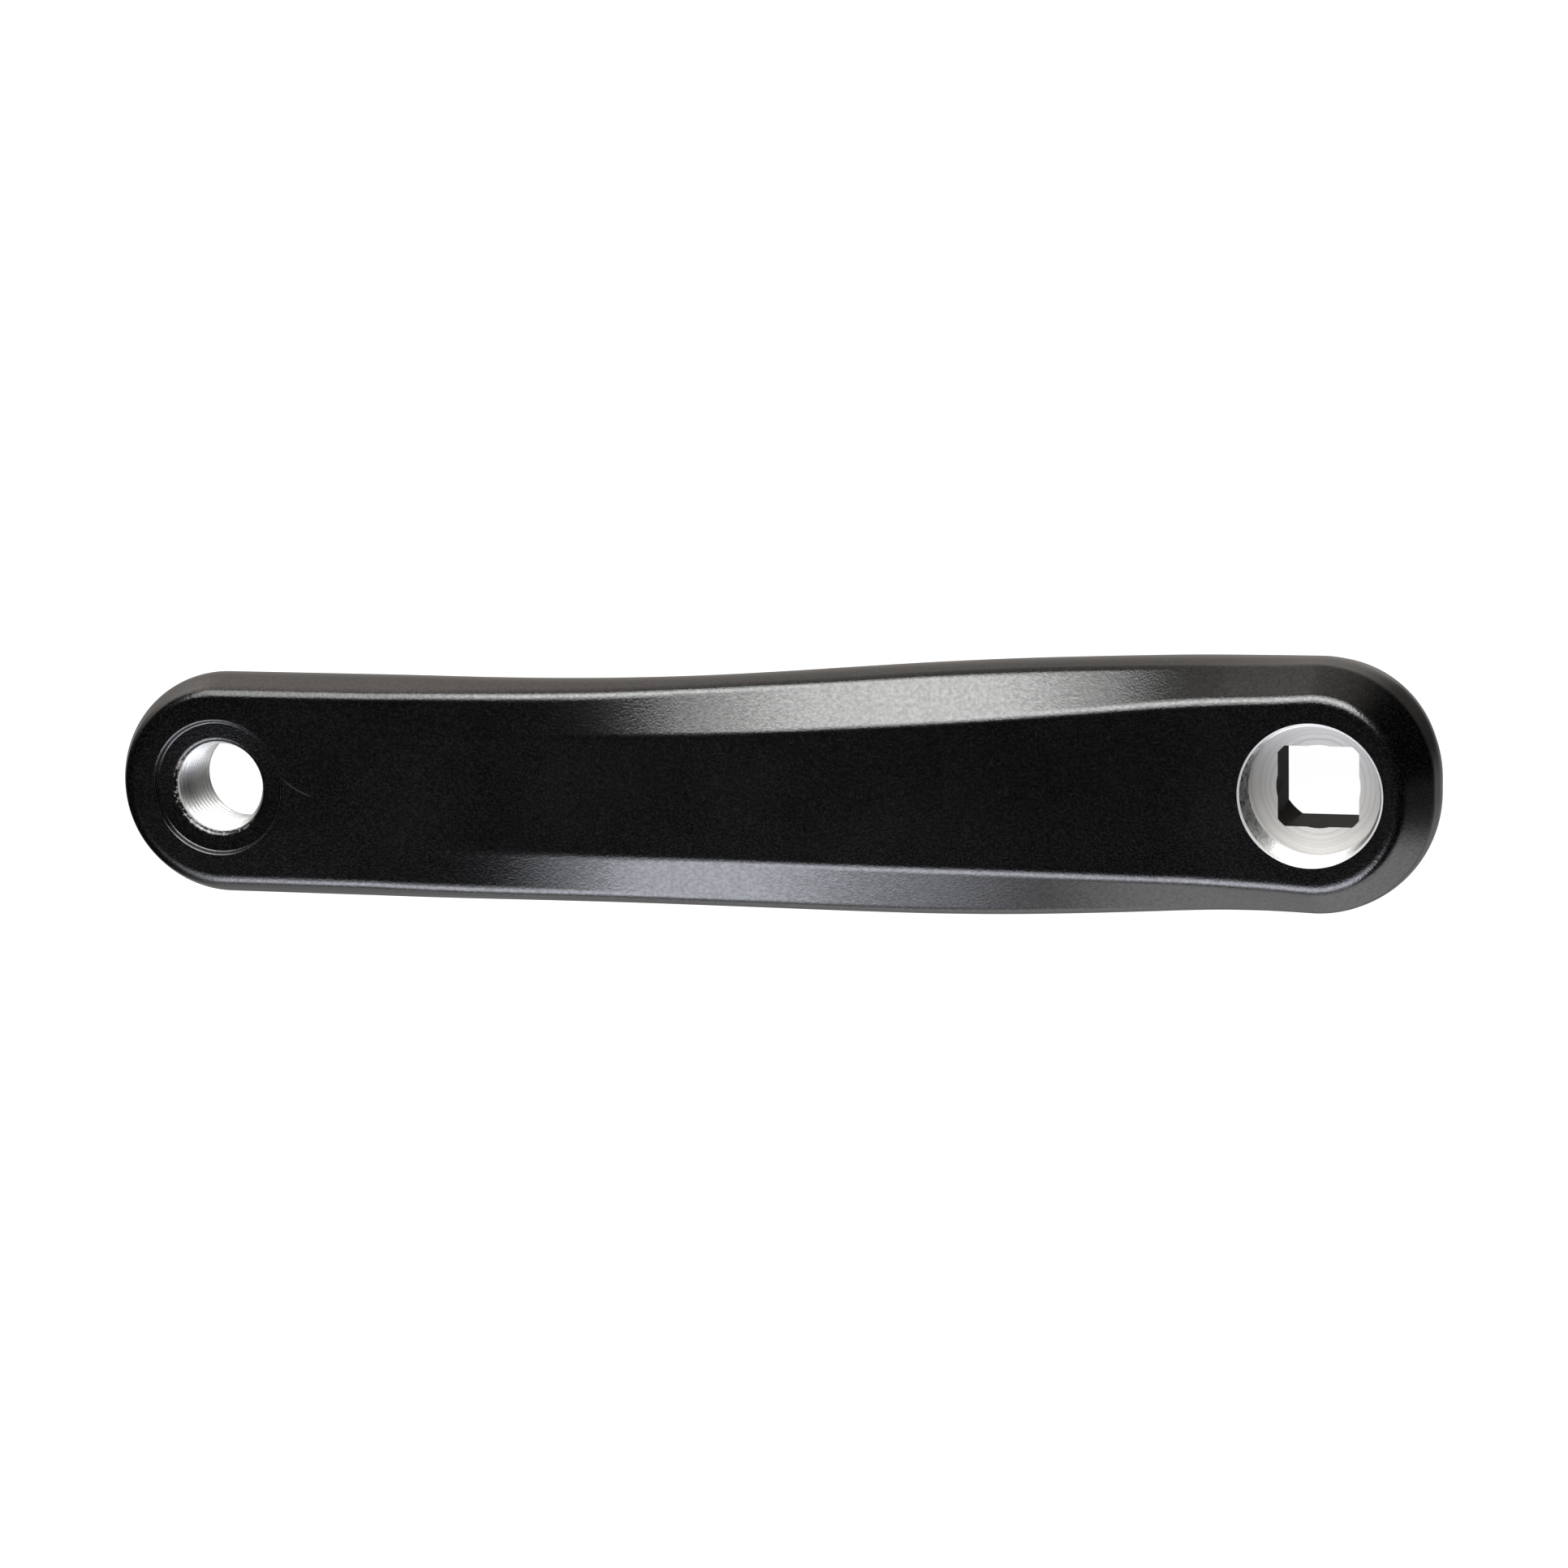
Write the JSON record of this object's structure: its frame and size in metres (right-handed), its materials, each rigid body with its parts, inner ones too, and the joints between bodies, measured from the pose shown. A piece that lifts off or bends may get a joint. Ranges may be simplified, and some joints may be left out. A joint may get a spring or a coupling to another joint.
{
  "type": "bicycle crank arm",
  "caption": "Forged bicycle crank arm, black with bare machined bores: a square taper socket for the spindle at one end and a threaded hole for the pedal at the other.",
  "frame": {"origin": "on the spindle axis, in the back face of the spindle boss", "axes": "+Z outward along the spindle axis, -X along the arm to the pedal hole, +Y across the arm"},
  "size_m": [0.2061, 0.04, 0.0404],
  "materials": {
    "black_arm": "satin black on fine blasted aluminium, bores bare"
  },
  "bodies": {
    "root": {"crank_arm": "black_arm"}
  },
  "joints": []
}
